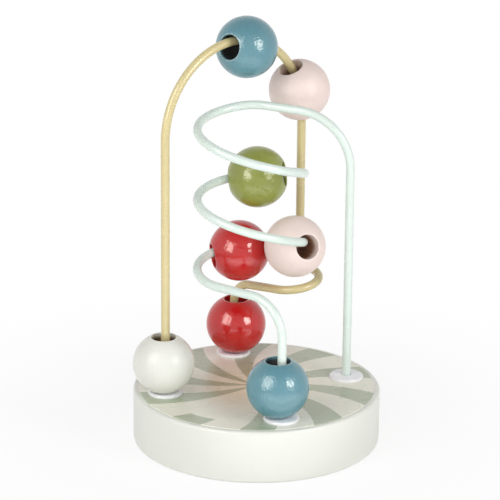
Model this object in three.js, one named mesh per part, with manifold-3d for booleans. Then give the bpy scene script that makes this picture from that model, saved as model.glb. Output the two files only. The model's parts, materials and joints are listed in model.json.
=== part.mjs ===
// Wooden bead track for a baby: a round painted base, two bent coated wires and eight beads threaded on them.
// Millimetres and degrees, +Z up. The origin is the middle of the base's underside.
import * as THREE from "three";
import { mergeVertices } from "three/addons/utils/BufferGeometryUtils.js";
import Module from "manifold-3d";

// Base disc and the printed film on its top
const BASE_DIAMETER = 120;
const BASE_THICKNESS = 26;
const BASE_EDGE_RADIUS = 1.5;
const SOCKET_FLOOR = 6;
const PRINT_MARGIN = 2.7;
const PRINT_THICKNESS = 0.3;

// Coated wire: a plastic sleeve over a steel core whose bare ends stand in the base
const SLEEVE_DIAMETER = 4.2;
const CORE_DIAMETER = 2.4;
const CORE_CLEARANCE = 0.3;

// Collars that seat the four wire ends, spaced evenly on one circle inside the base's edge
const COLLAR_EDGE_DISTANCE = 14.5;
const COLLAR_FLANGE_DIAMETER = 16.8;
const COLLAR_FLANGE_HEIGHT = 1.8;
const COLLAR_EDGE_RADIUS = 0.9;
const COLLAR_SPIGOT_DIAMETER = 9;
const COLLAR_SPIGOT_LENGTH = 12;
const COLLAR_LEDGE_HEIGHT = 3;
const COLLAR_CLEARANCE = 0.3;

// Mint wire: up from the right collar, over, down a coil, and into the front collar
const COIL_CENTRE_X = -3.8;
const COIL_RADIUS = 25.4;
const COIL_FULL_TURNS = 2;
const COIL_START_HEIGHT = 136.4;
const COIL_FOOT_HEIGHT = 54.75;
const COIL_EASE_ANGLE = 30;
const COIL_TOP_LEAN_ANGLE = 5.4;
const COIL_TOP_LEAN_TOWARDS = 17;
const COIL_FOOT_LEAN_ANGLE = 7;
const COIL_FOOT_LEAN_TOWARDS = 41;
const TOP_BEND_RADIUS = 27.5;
const FRONT_BEND_RADIUS = 17.7;

// Yellow wire: up from the left collar, over an arch, down, round a low loop, and into the back collar
const FAR_LEG_OUTSIDE_COLLARS = 2.5;
const FAR_LEG_ANGLE = 49.5;
const ARCH_SPRING_HEIGHT = 126;
const FAR_LEG_END_HEIGHT = 60;
const FAR_BEND_RADIUS = 12.5;
const LOOP_HEADING = -66;
const LOOP_RADIUS = 11.5;
const LOOP_SLOPE = 8.5;
const BACK_BEND_RADIUS = 13;

// Beads, and where each one sits: turns down the coil, degrees round the arch, or on a collar
const BEAD_DIAMETER = 30;
const BEAD_BORE_DIAMETER = 11.8;
const BEAD_RIM_RADIUS = 0.5;
const BEAD_SEAT_GAP = 0.3;
const BEADS_APART = 0.6;
const GREEN_BEAD_TURNS = 1.025;
const GREEN_BEAD_GAP = 1.4;
const COIL_PAIR_TURNS = 1.87;
const COIL_PAIR_GAP = 0.6;
const BLUE_BEAD_ARCH_ANGLE = 100.4;
const BLUE_BEAD_ARCH_GAP = 0.15;
const BLUE_BEAD_ARCH_TURN = 11;
const PINK_BEAD_ARCH_ANGLE = 163;
const PINK_BEAD_ARCH_GAP = 0.4;
const PINK_BEAD_ARCH_SWING = -110;
const PINK_BEAD_ARCH_NOD = 9;
const WHITE_BEAD_LEAN = 0.25;
const WHITE_BEAD_LEAN_TOWARDS = 180;
const RED_BEAD_LEAN = 0.33;
const RED_BEAD_LEAN_TOWARDS = -15;
const BLUE_BEAD_LEAN = 0.66;
const BLUE_BEAD_LEAN_TOWARDS = 127;

// Facets of round pieces
const BASE_FACETS = 72;
const BEAD_FACETS = 20;
const COLLAR_FACETS = 16;
const SLEEVE_FACETS = 8;
const CORE_FACETS = 6;
const BEND_STEP = 13;
const COIL_STEP = 15;
const CORNER_STEPS = 3;
const BEAD_ARC_STEPS = 9;
const BEAD_RIM_STEPS = 2;

// Fineness of the sums: joined vertices, lengths along a wire, headings, the wire in a bore, and searches
const JOIN_DISTANCE = 1e-4;
const LENGTH_STEPS = 20;
const HEADING_SHARE = 1e-4;
const BORE_STEPS = 12;
const SEARCH_STEPS = 40;

// Values that follow from the sizes above
const BASE_RADIUS = BASE_DIAMETER / 2;
const PRINT_RADIUS = BASE_RADIUS - PRINT_MARGIN;
const DECK = BASE_THICKNESS + PRINT_THICKNESS;
const COLLAR_CIRCLE_RADIUS = BASE_RADIUS - COLLAR_EDGE_DISTANCE;
const FAR_LEG_RADIUS = COLLAR_CIRCLE_RADIUS + FAR_LEG_OUTSIDE_COLLARS;
const BEAD_RADIUS = BEAD_DIAMETER / 2;
const BORE_RADIUS = BEAD_BORE_DIAMETER / 2;
const SLEEVE_RADIUS = SLEEVE_DIAMETER / 2;
const CORE_RADIUS = CORE_DIAMETER / 2;
const CORE_HOLE_RADIUS = CORE_RADIUS + CORE_CLEARANCE;
const SPIGOT_RADIUS = COLLAR_SPIGOT_DIAMETER / 2;
const SPIGOT_HOLE_RADIUS = SPIGOT_RADIUS + COLLAR_CLEARANCE;
const SPIGOT_END = DECK - COLLAR_SPIGOT_LENGTH;
const LEDGE = SPIGOT_END + COLLAR_LEDGE_HEIGHT;
const SLEEVE_END = LEDGE + COLLAR_CLEARANCE;
const CORE_END = SOCKET_FLOOR + CORE_CLEARANCE;
const RIM_HEIGHT = Math.sqrt((BEAD_RADIUS - BEAD_RIM_RADIUS) ** 2 - (BORE_RADIUS + BEAD_RIM_RADIUS) ** 2);
const BEAD_HALF_HEIGHT = RIM_HEIGHT + BEAD_RIM_RADIUS;
const BEAD_PLAY = BORE_RADIUS - SLEEVE_RADIUS - BEAD_SEAT_GAP;

const UP = new THREE.Vector3(0, 0, 1);
const DOWN = new THREE.Vector3(0, 0, -1);
const radians = THREE.MathUtils.degToRad;
const polar = (radius, degrees, z = 0) =>
  new THREE.Vector3(radius * Math.cos(radians(degrees)), radius * Math.sin(radians(degrees)), z);
const collarPost = (degrees) => polar(COLLAR_CIRCLE_RADIUS, degrees);
const RIGHT_POST = collarPost(0);
const BACK_POST = collarPost(90);
const LEFT_POST = collarPost(180);
const FRONT_POST = collarPost(270);

const wasm = await Module();
wasm.setup();

// Closed geometry to a solid for cutting, and back
function toSolid(geometry) {
  const bare = geometry.clone().deleteAttribute("normal").deleteAttribute("uv");
  const merged = mergeVertices(bare, JOIN_DISTANCE);
  return new wasm.Manifold(
    new wasm.Mesh({
      numProp: 3,
      vertProperties: merged.attributes.position.array,
      triVerts: new Uint32Array(merged.index.array),
    }),
  );
}

function toGeometry(solid) {
  const mesh = solid.getMesh();
  const geometry = new THREE.BufferGeometry();
  geometry.setAttribute("position", new THREE.BufferAttribute(mesh.vertProperties, mesh.numProp));
  geometry.setIndex(new THREE.BufferAttribute(mesh.triVerts, 1));
  geometry.computeVertexNormals();
  return geometry;
}

// Turned pieces: a profile of [radius, height] pairs, listed anticlockwise
function turned(profile, facets) {
  const points = profile.map(([radius, height]) => new THREE.Vector2(radius, height));
  return new THREE.LatheGeometry(points, facets).rotateX(Math.PI / 2);
}

const arcPoints = (centre, radius, fromDegrees, toDegrees, steps) =>
  Array.from({ length: steps + 1 }, (_, i) => {
    const angle = radians(THREE.MathUtils.lerp(fromDegrees, toDegrees, i / steps));
    return [centre[0] + radius * Math.cos(angle), centre[1] + radius * Math.sin(angle)];
  });

// Stretches of wire: each gives a point for a share u of its length, and says how many rings it needs
const straight = (from, to) => ({ rings: 1, at: (u) => from.clone().lerp(to, u) });

function bend(start, heading, newHeading, radius) {
  const axis = heading.clone().cross(newHeading).normalize();
  const angle = heading.angleTo(newHeading);
  const centre = axis.clone().cross(heading).multiplyScalar(radius).add(start);
  const arm = start.clone().sub(centre);
  return {
    rings: Math.ceil(angle / radians(BEND_STEP)),
    at: (u) => arm.clone().applyAxisAngle(axis, angle * u).add(centre),
  };
}

const endOf = (stretch) => stretch.at(1);
const headingAt = (stretch, u) =>
  stretch.at(u + HEADING_SHARE).sub(stretch.at(u - HEADING_SHARE)).normalize();

// A whole wire: t runs one ring at a time, so a long straight takes one step and a bend takes many
class WireRoute extends THREE.Curve {
  constructor(stretches) {
    super();
    this.stretches = stretches;
    this.rings = stretches.flatMap((stretch) =>
      Array.from({ length: stretch.rings }, (_, i) => ({ stretch, from: i / stretch.rings })),
    );
    this.arcLengthDivisions = LENGTH_STEPS * this.rings.length;
  }

  getPoint(t) {
    const place = t * this.rings.length;
    const index = Math.min(Math.floor(place), this.rings.length - 1);
    const { stretch, from } = this.rings[index];
    return stretch.at(from + (place - index) / stretch.rings);
  }

  getPointAt(t) {
    return this.getPoint(t);
  }

  getTangentAt(t) {
    return this.getTangent(t);
  }

  distanceTo(stretch, u) {
    const first = this.rings.findIndex((ring) => ring.stretch === stretch);
    const lengths = this.getLengths();
    const place = ((first + u * stretch.rings) / this.rings.length) * (lengths.length - 1);
    const before = Math.floor(place);
    const after = Math.min(before + 1, lengths.length - 1);
    return THREE.MathUtils.lerp(lengths[before], lengths[after], place - before);
  }

  pointAtDistance(distance) {
    return this.getPoint(this.getUtoTmapping(0, distance));
  }
}

// The coil: a circle that drops steadily to its foot, level at both ends and leaning more lower down
function coilStretch() {
  const centre = new THREE.Vector3(COIL_CENTRE_X, 0, 0);
  const arrival = RIGHT_POST.clone().sub(centre);
  const departure = FRONT_POST.clone().sub(centre);
  const start = Math.atan2(arrival.y, arrival.x) + Math.acos(COIL_RADIUS / arrival.length());
  const leave = Math.atan2(departure.y, departure.x) - Math.acos(COIL_RADIUS / departure.length());
  const partTurn = THREE.MathUtils.euclideanModulo(leave - start, 2 * Math.PI);
  const sweep = 2 * Math.PI * COIL_FULL_TURNS + partTurn;
  const ease = radians(COIL_EASE_ANGLE);
  const eased = (angle) => {
    if (angle < ease) return angle ** 2 / (2 * ease);
    if (angle > sweep - ease) return sweep - ease - (sweep - angle) ** 2 / (2 * ease);
    return angle - ease / 2;
  };
  const drop = (COIL_START_HEIGHT - COIL_FOOT_HEIGHT) / eased(sweep);
  const topLean = polar(Math.tan(radians(COIL_TOP_LEAN_ANGLE)), COIL_TOP_LEAN_TOWARDS);
  const footLean = polar(Math.tan(radians(COIL_FOOT_LEAN_ANGLE)), COIL_FOOT_LEAN_TOWARDS);
  return {
    rings: Math.ceil(sweep / radians(COIL_STEP)),
    turns: sweep / (2 * Math.PI),
    at: (u) => {
      const angle = u * sweep;
      const arm = polar(COIL_RADIUS, THREE.MathUtils.radToDeg(start + angle));
      const lean = topLean.clone().lerp(footLean, u);
      const height = COIL_START_HEIGHT - drop * eased(angle) - arm.dot(lean);
      return arm.add(centre).setZ(DECK + height);
    },
  };
}

// The straight run and bend that join an upright post to a stretch whose line passes over that post
function bendToPost(from, heading, post, radius) {
  const room = Math.hypot(post.x - from.x, post.y - from.y);
  const fall = -heading.z;
  const held = Math.min(radius, room / (1 - fall));
  const run = (room - held * (1 - fall)) / Math.hypot(heading.x, heading.y);
  const start = heading.clone().multiplyScalar(run).add(from);
  return [straight(from, start), bend(start, heading, DOWN, held)];
}

function mintStretches(endHeight) {
  const coil = coilStretch();
  const backwards = headingAt(coil, 0).negate();
  const [topRun, topBend] = bendToPost(coil.at(0), backwards, RIGHT_POST, TOP_BEND_RADIUS);
  const [frontRun, frontBend] = bendToPost(endOf(coil), headingAt(coil, 1), FRONT_POST, FRONT_BEND_RADIUS);
  const reversed = ({ rings, at }) => ({ rings, at: (u) => at(1 - u) });
  return {
    coil,
    all: [
      straight(RIGHT_POST.clone().setZ(endHeight), endOf(topBend)),
      reversed(topBend),
      reversed(topRun),
      coil,
      frontRun,
      frontBend,
      straight(endOf(frontBend), FRONT_POST.clone().setZ(endHeight)),
    ],
  };
}

// The low loop: a level-ish circle, taken clockwise, that leaves on the line to the back post
function loopStretch(start, heading) {
  const level = heading.clone().setZ(0).normalize();
  const centre = new THREE.Vector3(level.y, -level.x, 0).multiplyScalar(LOOP_RADIUS).add(start).setZ(0);
  const arm = start.clone().sub(centre);
  const target = BACK_POST.clone().sub(centre);
  const from = Math.atan2(arm.y, arm.x);
  const to = Math.atan2(target.y, target.x) + Math.acos(LOOP_RADIUS / target.length());
  const sweep = THREE.MathUtils.euclideanModulo(from - to, 2 * Math.PI);
  const fall = LOOP_RADIUS * sweep * Math.tan(radians(LOOP_SLOPE));
  return {
    rings: Math.ceil(sweep / radians(COIL_STEP)),
    at: (u) => {
      const place = polar(LOOP_RADIUS, THREE.MathUtils.radToDeg(from - u * sweep));
      return place.add(centre).setZ(start.z - u * fall);
    },
  };
}

function yellowStretches(endHeight) {
  const farLeg = polar(FAR_LEG_RADIUS, FAR_LEG_ANGLE);
  const spring = DECK + ARCH_SPRING_HEIGHT;
  const archCentre = LEFT_POST.clone().add(farLeg).multiplyScalar(0.5).setZ(spring);
  const halfSpan = farLeg.clone().sub(LEFT_POST).multiplyScalar(0.5);
  const rise = UP.clone().multiplyScalar(halfSpan.length());
  const arch = {
    rings: Math.ceil(180 / BEND_STEP),
    at: (u) =>
      archCentre
        .clone()
        .addScaledVector(halfSpan, -Math.cos(Math.PI * u))
        .addScaledVector(rise, Math.sin(Math.PI * u)),
  };
  const farEnd = farLeg.clone().setZ(DECK + FAR_LEG_END_HEIGHT);
  const heading = polar(Math.cos(radians(LOOP_SLOPE)), LOOP_HEADING, -Math.sin(radians(LOOP_SLOPE)));
  const farBend = bend(farEnd, DOWN, heading, FAR_BEND_RADIUS);
  const loop = loopStretch(endOf(farBend), heading);
  const [backRun, backBend] = bendToPost(endOf(loop), headingAt(loop, 1), BACK_POST, BACK_BEND_RADIUS);
  return {
    arch,
    all: [
      straight(LEFT_POST.clone().setZ(endHeight), arch.at(0)),
      arch,
      straight(endOf(arch), farEnd),
      farBend,
      loop,
      backRun,
      backBend,
      straight(endOf(backBend), BACK_POST.clone().setZ(endHeight)),
    ],
  };
}

// Round bar or tube swept along a wire
const circle = (radius, facets) =>
  Array.from({ length: facets }, (_, i) => {
    const angle = (2 * Math.PI * i) / facets;
    return new THREE.Vector2(radius * Math.cos(angle), radius * Math.sin(angle));
  });

function sweptBar(stretches, radius, facets, holeRadius) {
  const section = new THREE.Shape(circle(radius, facets));
  if (holeRadius) section.holes.push(new THREE.Path(circle(holeRadius, CORE_FACETS)));
  const route = new WireRoute(stretches);
  return new THREE.ExtrudeGeometry(section, { steps: route.rings.length, extrudePath: route });
}

// Bead: a ball with a bore whose two rims are rounded
function beadGeometry() {
  const rimAngle = THREE.MathUtils.radToDeg(Math.atan2(RIM_HEIGHT, BORE_RADIUS + BEAD_RIM_RADIUS));
  const rimCentre = BORE_RADIUS + BEAD_RIM_RADIUS;
  const lowerRim = arcPoints([rimCentre, -RIM_HEIGHT], BEAD_RIM_RADIUS, -180, -rimAngle, BEAD_RIM_STEPS);
  const ball = arcPoints([0, 0], BEAD_RADIUS, -rimAngle, rimAngle, BEAD_ARC_STEPS);
  const upperRim = arcPoints([rimCentre, RIM_HEIGHT], BEAD_RIM_RADIUS, rimAngle, 180, BEAD_RIM_STEPS);
  return turned([...lowerRim, ...ball.slice(1, -1), ...upperRim, lowerRim[0]], BEAD_FACETS);
}

// The largest value for which a test holds, where it holds up to some value and not above it
function lastThat(holds, from, to) {
  let [near, far] = [from, to];
  for (let i = 0; i < SEARCH_STEPS; i++) {
    const middle = (near + far) / 2;
    if (holds(middle)) near = middle;
    else far = middle;
  }
  return near;
}

// The point midway between the two points that lie furthest apart, seen along an axis
function middleAlong(points, axis) {
  const pairs = points.flatMap((a, i) => points.slice(i + 1).map((b) => [a, b]));
  const spread = ([a, b]) => a.clone().sub(b).projectOnPlane(axis).length();
  const [a, b] = pairs.reduce((widest, pair) => (spread(pair) > spread(widest) ? pair : widest));
  return a.clone().add(b).multiplyScalar(0.5);
}

// How a bead hangs: the bore follows the chord of the wire in it, or nods and turns off that chord,
// and the bead drops until the wire nearly touches its wall. A swing turns the drop round the wire.
function hangingSeat(route, distance, { gap, swing = 0, turn = 0, nod = 0 }) {
  const inBore = Array.from({ length: BORE_STEPS + 1 }, (_, i) =>
    route.pointAtDistance(distance + THREE.MathUtils.lerp(-RIM_HEIGHT, RIM_HEIGHT, i / BORE_STEPS)),
  );
  const [before, after] = [inBore[0], inBore[BORE_STEPS]];
  const chord = after.clone().sub(before).normalize();
  const level = chord.clone().cross(UP).normalize();
  const axis = chord.clone().applyAxisAngle(level, radians(nod)).applyAxisAngle(UP, radians(turn));
  const headings = inBore.slice(1).map((point, i) => point.clone().sub(inBore[i]).normalize());
  const wireReach = SLEEVE_RADIUS / Math.min(...headings.map((heading) => heading.dot(axis)));
  const widest = BORE_RADIUS - wireReach - gap;
  const middle = middleAlong(inBore, axis);
  const along = before.clone().add(after).multiplyScalar(0.5).sub(middle).projectOnVector(axis);
  const down = DOWN.clone().projectOnPlane(axis).normalize().applyAxisAngle(axis, radians(swing));
  const hung = (drop) => middle.clone().add(along).addScaledVector(down, drop);
  const clear = (drop) =>
    inBore.every((point) => point.clone().sub(hung(drop)).projectOnPlane(axis).length() < widest);
  return { centre: hung(lastThat(clear, 0, BORE_RADIUS)), axis };
}

// The next bead along the wire: the first place where the two beads are clear of each other
function neighbourSeat(route, distance, hang) {
  const spacing = BEAD_DIAMETER + BEADS_APART;
  const first = hangingSeat(route, distance, hang).centre;
  const meets = (place) => hangingSeat(route, place, hang).centre.distanceTo(first) < spacing;
  return hangingSeat(route, lastThat(meets, distance + spacing / 2, distance + 2 * spacing), hang);
}

// A bead at rest on a collar, leaning off its wire by a share of the play
function collarSeat(post, leanShare, leanDegrees) {
  const height = DECK + COLLAR_FLANGE_HEIGHT + BEAD_SEAT_GAP + BEAD_HALF_HEIGHT;
  const centre = polar(leanShare * BEAD_PLAY, leanDegrees).add(post).setZ(height);
  return { centre, axis: UP };
}

function baseGeometry() {
  const inner = BASE_RADIUS - BASE_EDGE_RADIUS;
  const edgeTop = BASE_THICKNESS - BASE_EDGE_RADIUS;
  const lowEdge = arcPoints([inner, BASE_EDGE_RADIUS], BASE_EDGE_RADIUS, -90, 0, CORNER_STEPS);
  const highEdge = arcPoints([inner, edgeTop], BASE_EDGE_RADIUS, 0, 90, CORNER_STEPS);
  const disc = turned([[0, 0], ...lowEdge, ...highEdge, [0, BASE_THICKNESS]], BASE_FACETS);
  const holeFloor = SPIGOT_END - COLLAR_CLEARANCE;
  const socket = [
    [0, SOCKET_FLOOR],
    [CORE_HOLE_RADIUS, SOCKET_FLOOR],
    [CORE_HOLE_RADIUS, holeFloor],
    [SPIGOT_HOLE_RADIUS, holeFloor],
    [SPIGOT_HOLE_RADIUS, DECK],
    [0, DECK],
  ];
  return toGeometry(
    [RIGHT_POST, BACK_POST, LEFT_POST, FRONT_POST].reduce(
      (solid, post) => solid.subtract(toSolid(turned(socket, COLLAR_FACETS).translate(post.x, post.y, 0))),
      toSolid(disc),
    ),
  );
}

function printGeometry() {
  const outline = new THREE.Shape(circle(PRINT_RADIUS, BASE_FACETS));
  for (const post of [RIGHT_POST, BACK_POST, LEFT_POST, FRONT_POST]) {
    const hole = circle(SPIGOT_HOLE_RADIUS, COLLAR_FACETS).map((point) => point.add(post));
    outline.holes.push(new THREE.Path(hole));
  }
  return new THREE.ExtrudeGeometry(outline, { depth: PRINT_THICKNESS, bevelEnabled: false });
}

function collarGeometry() {
  const flangeRadius = COLLAR_FLANGE_DIAMETER / 2;
  const edgeCentre = [flangeRadius - COLLAR_EDGE_RADIUS, COLLAR_FLANGE_HEIGHT - COLLAR_EDGE_RADIUS];
  const sleeveHoleRadius = SLEEVE_RADIUS + COLLAR_CLEARANCE;
  const ledge = COLLAR_LEDGE_HEIGHT - COLLAR_SPIGOT_LENGTH;
  const start = [CORE_HOLE_RADIUS, -COLLAR_SPIGOT_LENGTH];
  return turned(
    [
      start,
      [SPIGOT_RADIUS, -COLLAR_SPIGOT_LENGTH],
      [SPIGOT_RADIUS, 0],
      [flangeRadius, 0],
      ...arcPoints(edgeCentre, COLLAR_EDGE_RADIUS, 0, 90, CORNER_STEPS),
      [sleeveHoleRadius, COLLAR_FLANGE_HEIGHT],
      [sleeveHoleRadius, ledge],
      [CORE_HOLE_RADIUS, ledge],
      start,
    ],
    COLLAR_FACETS,
  );
}

// Finishes
const finish = (color, roughness, metalness = 0) =>
  new THREE.MeshStandardMaterial({ color, roughness, metalness });
const WHITE_PAINT = finish(0xeeefe8, 0.5);
const PRINTED_FILM = finish(0xbfc0ae, 0.45);
const WHITE_PLASTIC = finish(0xe9e8e8, 0.35);
const STEEL = finish(0x9a9ca0, 0.35, 1);
const MINT_PLASTIC = finish(0xdbe9dd, 0.4);
const YELLOW_PLASTIC = finish(0xdcc98f, 0.4);
const BLUE_LACQUER = finish(0x6a9dab, 0.3);
const PINK_LACQUER = finish(0xf0dcd3, 0.3);
const RED_LACQUER = finish(0xc63f41, 0.3);
const GREEN_LACQUER = finish(0x98a05c, 0.3);
const WHITE_LACQUER = finish(0xeeeee4, 0.3);

// Assembly
const track = new THREE.Group();
function place(name, geometry, material, position, axis = UP) {
  const mesh = new THREE.Mesh(geometry, material.clone());
  mesh.name = name;
  mesh.position.copy(position);
  mesh.quaternion.setFromUnitVectors(UP, axis);
  track.add(mesh);
}
const ORIGIN = new THREE.Vector3();

place("base_disc", baseGeometry(), WHITE_PAINT, ORIGIN);
place("top_print", printGeometry(), PRINTED_FILM, new THREE.Vector3(0, 0, BASE_THICKNESS));

const COLLARS = { right: RIGHT_POST, back: BACK_POST, left: LEFT_POST, front: FRONT_POST };
for (const [side, post] of Object.entries(COLLARS)) {
  place(`collar_${side}`, collarGeometry(), WHITE_PLASTIC, post.clone().setZ(DECK));
}

const WIRES = [
  ["mint_wire", mintStretches, MINT_PLASTIC],
  ["yellow_wire", yellowStretches, YELLOW_PLASTIC],
];
for (const [name, stretches, plastic] of WIRES) {
  const core = sweptBar(stretches(CORE_END).all, CORE_RADIUS, CORE_FACETS);
  const sleeve = sweptBar(stretches(SLEEVE_END).all, SLEEVE_RADIUS, SLEEVE_FACETS, CORE_HOLE_RADIUS);
  place(`${name}_core`, core, STEEL, ORIGIN);
  place(`${name}_sleeve`, sleeve, plastic, ORIGIN);
}

const mint = mintStretches(SLEEVE_END);
const mintRoute = new WireRoute(mint.all);
const onCoil = (turns) => mintRoute.distanceTo(mint.coil, turns / mint.coil.turns);
const yellow = yellowStretches(SLEEVE_END);
const yellowRoute = new WireRoute(yellow.all);
const onArch = (degrees) => yellowRoute.distanceTo(yellow.arch, degrees / 180);
const archSeat = (degrees, hang) => hangingSeat(yellowRoute, onArch(degrees), hang);
const coilSeat = (turns, hang) => hangingSeat(mintRoute, onCoil(turns), hang);
const nextCoilSeat = (turns, hang) => neighbourSeat(mintRoute, onCoil(turns), hang);
const BLUE_ARCH_HANG = { gap: BLUE_BEAD_ARCH_GAP, turn: BLUE_BEAD_ARCH_TURN };
const PINK_ARCH_HANG = { gap: PINK_BEAD_ARCH_GAP, swing: PINK_BEAD_ARCH_SWING, nod: PINK_BEAD_ARCH_NOD };
const GREEN_COIL_HANG = { gap: GREEN_BEAD_GAP };
const COIL_PAIR_HANG = { gap: COIL_PAIR_GAP };

const BEADS = [
  ["bead_white_left", WHITE_LACQUER, collarSeat(LEFT_POST, WHITE_BEAD_LEAN, WHITE_BEAD_LEAN_TOWARDS)],
  ["bead_red_back", RED_LACQUER, collarSeat(BACK_POST, RED_BEAD_LEAN, RED_BEAD_LEAN_TOWARDS)],
  ["bead_blue_front", BLUE_LACQUER, collarSeat(FRONT_POST, BLUE_BEAD_LEAN, BLUE_BEAD_LEAN_TOWARDS)],
  ["bead_blue_arch", BLUE_LACQUER, archSeat(BLUE_BEAD_ARCH_ANGLE, BLUE_ARCH_HANG)],
  ["bead_pink_arch", PINK_LACQUER, archSeat(PINK_BEAD_ARCH_ANGLE, PINK_ARCH_HANG)],
  ["bead_green_coil", GREEN_LACQUER, coilSeat(GREEN_BEAD_TURNS, GREEN_COIL_HANG)],
  ["bead_pink_coil", PINK_LACQUER, coilSeat(COIL_PAIR_TURNS, COIL_PAIR_HANG)],
  ["bead_red_coil", RED_LACQUER, nextCoilSeat(COIL_PAIR_TURNS, COIL_PAIR_HANG)],
];
for (const [name, lacquer, { centre, axis }] of BEADS) {
  place(name, beadGeometry(), lacquer, centre, axis);
}

export default track;
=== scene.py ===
"""A baby's bead track, dressed for a picture: painted base, printed top, coated wires and lacquered beads.

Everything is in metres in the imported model's own frame: +Z is up, and the origin is the middle of the
base's underside. Each new piece stands in for one of the model's solids and moves with the same body. The
steel cores of the wires keep their shape and get a finish.
"""

import json
import math

import bmesh
import bpy
import numpy as np
from bpy.props import FloatProperty, FloatVectorProperty, IntProperty, PointerProperty
from bpy.types import Operator, Panel, PropertyGroup
from mathutils import Matrix, Quaternion, Vector

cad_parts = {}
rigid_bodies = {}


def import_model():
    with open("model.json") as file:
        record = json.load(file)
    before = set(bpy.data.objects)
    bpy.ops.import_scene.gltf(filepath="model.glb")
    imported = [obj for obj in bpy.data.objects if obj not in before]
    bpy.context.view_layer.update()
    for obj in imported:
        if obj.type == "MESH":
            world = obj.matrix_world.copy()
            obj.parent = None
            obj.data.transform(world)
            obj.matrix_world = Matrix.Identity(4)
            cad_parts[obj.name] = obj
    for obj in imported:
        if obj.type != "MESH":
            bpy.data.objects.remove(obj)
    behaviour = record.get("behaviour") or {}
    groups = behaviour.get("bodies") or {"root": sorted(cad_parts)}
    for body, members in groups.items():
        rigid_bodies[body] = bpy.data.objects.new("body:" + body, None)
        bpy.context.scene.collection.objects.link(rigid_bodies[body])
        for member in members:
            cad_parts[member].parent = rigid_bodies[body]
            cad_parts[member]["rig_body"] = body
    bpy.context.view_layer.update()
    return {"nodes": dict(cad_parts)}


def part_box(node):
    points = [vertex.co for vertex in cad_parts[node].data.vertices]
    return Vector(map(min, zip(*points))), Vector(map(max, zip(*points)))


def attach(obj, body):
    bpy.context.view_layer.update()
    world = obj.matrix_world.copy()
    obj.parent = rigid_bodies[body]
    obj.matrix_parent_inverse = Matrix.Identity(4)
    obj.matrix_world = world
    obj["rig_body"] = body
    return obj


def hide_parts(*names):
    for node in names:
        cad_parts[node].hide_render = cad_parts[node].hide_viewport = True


bl_info = {
    "name": "Bead Track",
    "version": (1, 0, 0),
    "blender": (4, 5, 0),
    "location": "3D View > Sidebar > Bead Track",
    "description": "Builds a wooden bead track for a baby, with its materials and a photo stage",
    "category": "Add Mesh",
}

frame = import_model()

MM = 0.001
UP = np.array((0.0, 0.0, 1.0))
DOWN = -UP
WHITE = (1.0, 1.0, 1.0, 1.0)

# Fineness of the round pieces
BASE_SEGMENTS = 192
COLLAR_SEGMENTS = 72
BEAD_SEGMENTS = 72
BEAD_ARC_STEPS = 56
RIM_STEPS = 8
EDGE_STEPS = 8
WIRE_SIDES = 28
BEND_STEP = math.radians(3.0)
SHARP_ANGLE = math.radians(35.0)

# Part of a stretch of wire over which its heading is measured
HEADING_SHARE = 1e-4
# A length that counts as none
SHORTEST_RUN = 1e-7
# A direction in which no wire starts
ASIDE = (0.31, 0.87, 0.38)
# How far a drill stands out of the faces that it cuts
DRILL_OVERSHOOT = 1.0 * MM
# Range in which soft noise mostly lies
NOISE_LOW, NOISE_HIGH = 0.3, 0.7
# Width of the camera's film in millimetres, and the nearest and the farthest thing that it takes in
FILM_WIDTH = 36.0
NEAREST, FARTHEST = 0.05, 50.0

# Lacquer of each bead and where the bead sits
BEADS = (
    ("white", "left"),
    ("red", "back"),
    ("blue", "front"),
    ("blue", "arch"),
    ("pink", "arch"),
    ("green", "coil"),
    ("pink", "coil"),
    ("red", "coil"),
)
# Where each collar sits and its direction from the base's middle in degrees
COLLARS = (("right", 0.0), ("back", 90.0), ("left", 180.0), ("front", 270.0))


# Settings


def number(name, description, default, **kind):
    """A setting that holds one number."""
    return FloatProperty(name=name, description=description, default=default, **kind)


def numbers(name, description, default, **kind):
    """A setting that holds several numbers."""
    return FloatVectorProperty(name=name, description=description, default=default, **kind)


def length(name, description, default):
    """A size in metres."""
    return number(name, description, default, min=0.0, precision=5, subtype="DISTANCE", unit="LENGTH")


def offset(name, description, default):
    """A distance in metres that may lie on either side of the middle."""
    return number(name, description, default, precision=5, subtype="DISTANCE", unit="LENGTH")


def angle(name, description, degrees):
    """An angle, given here in degrees."""
    return number(name, description, math.radians(degrees), subtype="ANGLE", unit="ROTATION")


def share(name, description, default):
    """A value from 0 to 1."""
    return number(name, description, default, min=0.0, max=1.0, subtype="FACTOR")


def watts(name, description, default):
    """Power of a lamp."""
    return number(name, description, default, min=0.0, unit="POWER")


def count(name, description, default, least, most):
    """A whole number."""
    return IntProperty(name=name, description=description, default=default, min=least, max=most)


def spot(name, description, *default):
    """A place in metres."""
    return numbers(name, description, default, precision=5, subtype="TRANSLATION", unit="LENGTH")


def direction(name, description, *default):
    """A direction, given as an arrow of any length."""
    return numbers(name, description, default, subtype="DIRECTION")


def panel_size(name, description, *default):
    """Width and height of a flat lamp in metres."""
    return numbers(name, description, default, min=0.0, size=2, unit="LENGTH")


def colour(name, description, red, green, blue):
    """A colour, given here as it looks on a screen from 0 to 255 and kept as linear light."""
    screen = [value / 255.0 for value in (red, green, blue)]
    linear = [v / 12.92 if v <= 0.04045 else ((v + 0.055) / 1.055) ** 2.4 for v in screen]
    return numbers(name, description, (*linear, 1.0), min=0.0, max=1.0, size=4, subtype="COLOR")


def group(kind, name, description):
    """A group of settings."""
    return PointerProperty(type=kind, name=name, description=description)


def extent(node):
    """Width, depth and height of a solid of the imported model."""
    low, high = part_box(node)
    return high - low


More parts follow.
